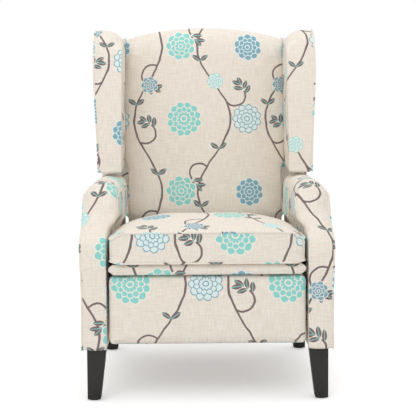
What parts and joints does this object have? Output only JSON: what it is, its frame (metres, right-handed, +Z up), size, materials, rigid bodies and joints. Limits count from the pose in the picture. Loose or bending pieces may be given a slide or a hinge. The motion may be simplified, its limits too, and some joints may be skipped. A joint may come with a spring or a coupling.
{
  "type": "wingback recliner",
  "caption": "Push-back wingback recliner: padded arms on four tapered legs, sliding seat, fold-out footrest on pivoted links, and a reclining winged back.",
  "frame": {"origin": "on the floor under the centre of the chair, upright and closed", "axes": "+Z up; the chair faces -Y; +X is on the right of someone who looks at its front"},
  "size_m": [0.688, 0.8277, 1.0429],
  "materials": {
    "printed_fabric": "cream slub linen look with a floral print",
    "black_wood": "black satin lacquer",
    "frame_wood": "plain hardwood and plywood",
    "black_steel": "black painted steel",
    "zinc_steel": "zinc plated",
    "webbing": "woven jute",
    "nylon": "moulded nylon"
  },
  "bodies": {
    "base": {"arm_cover_left": "printed_fabric", "arm_cover_right": "printed_fabric", "arm_frame_left": "frame_wood", "arm_frame_right": "frame_wood", "front_leg_left": "black_wood", "front_leg_right": "black_wood", "rear_leg_left": "black_wood", "rear_leg_right": "black_wood", "leg_bolts": "zinc_steel", "leg_glides": "nylon", "front_base_rail": "frame_wood", "rear_base_rail": "frame_wood", "track_plate_left": "black_steel", "track_plate_right": "black_steel", "track_bolts": "zinc_steel", "rail_brackets": "black_steel"},
    "seat": {"seat_side_plate_left": "black_steel", "seat_side_plate_right": "black_steel", "seat_side_rail_left": "frame_wood", "seat_side_rail_right": "frame_wood", "seat_front_rail": "frame_wood", "seat_rear_rail": "frame_wood", "seat_screws": "zinc_steel", "seat_rollers": "zinc_steel", "seat_springs": "zinc_steel", "seat_cushion": "printed_fabric", "seat_front_band": "printed_fabric", "seat_pivot_rivets": "zinc_steel", "back_hinge_pins": "zinc_steel"},
    "front_links": {"front_link_left": "black_steel", "front_link_right": "black_steel", "front_link_rivets": "zinc_steel", "linkage_cross_tube": "black_steel"},
    "rear_links": {"rear_link_left": "black_steel", "rear_link_right": "black_steel"},
    "cross_links": {"cross_link_left": "black_steel", "cross_link_right": "black_steel", "cross_link_rivets": "zinc_steel"},
    "lower_links": {"lower_link_left": "black_steel", "lower_link_right": "black_steel", "lower_link_rivets": "zinc_steel"},
    "footrest": {"footrest_board": "frame_wood", "footrest_pad": "printed_fabric", "footrest_bracket_left": "black_steel", "footrest_bracket_right": "black_steel", "footrest_screws": "zinc_steel"},
    "back": {"back_post_left": "frame_wood", "back_post_right": "frame_wood", "back_top_rail": "frame_wood", "back_bottom_rail": "frame_wood", "back_webbing": "webbing", "back_cushion": "printed_fabric", "wing_frame_left": "frame_wood", "wing_frame_right": "frame_wood", "wing_cover_left": "printed_fabric", "wing_cover_right": "printed_fabric", "outside_back": "printed_fabric", "back_bracket_left": "black_steel", "back_bracket_right": "black_steel", "back_bolts": "zinc_steel"}
  },
  "joints": [
    {"name": "seat_glide", "type": "slide", "parent": "base", "child": "seat", "axis": [0, -0.9903, 0.1392], "range_m": [0, 0.06]},
    {"name": "front_link_swing", "type": "hinge", "parent": "seat", "child": "front_links", "pos_m": [0, -0.306, 0.324], "axis": [-1, 0, 0], "range_deg": [0, 99.4]},
    {"name": "rear_link_swing", "type": "hinge", "parent": "seat", "child": "rear_links", "pos_m": [0, -0.262, 0.314], "axis": [-1, 0, 0], "range_deg": [0, 95.5]},
    {"name": "cross_link_fold", "type": "hinge", "parent": "front_links", "child": "cross_links", "pos_m": [0, -0.2465, 0.209], "axis": [1, 0, 0], "range_deg": [0, 115.6]},
    {"name": "lower_link_fold", "type": "hinge", "parent": "front_links", "child": "lower_links", "pos_m": [0, -0.235, 0.163], "axis": [1, 0, 0], "range_deg": [0, 115.5]},
    {"name": "footrest_turn", "type": "hinge", "parent": "cross_links", "child": "footrest", "pos_m": [0, -0.3385, 0.322], "axis": [-1, 0, 0], "range_deg": [0, 106.2]},
    {"name": "back_recline", "type": "hinge", "parent": "seat", "child": "back", "pos_m": [0, 0.161, 0.33], "axis": [-1, 0, 0], "range_deg": [0, 30]}
  ],
  "couplings": [
    {"joint": "front_link_swing", "follows": "seat_glide", "rad_per_m": 28.896},
    {"joint": "rear_link_swing", "follows": "seat_glide", "rad_per_m": 27.759},
    {"joint": "cross_link_fold", "follows": "seat_glide", "rad_per_m": 33.605},
    {"joint": "lower_link_fold", "follows": "seat_glide", "rad_per_m": 33.574},
    {"joint": "footrest_turn", "follows": "seat_glide", "rad_per_m": 30.888}
  ]
}
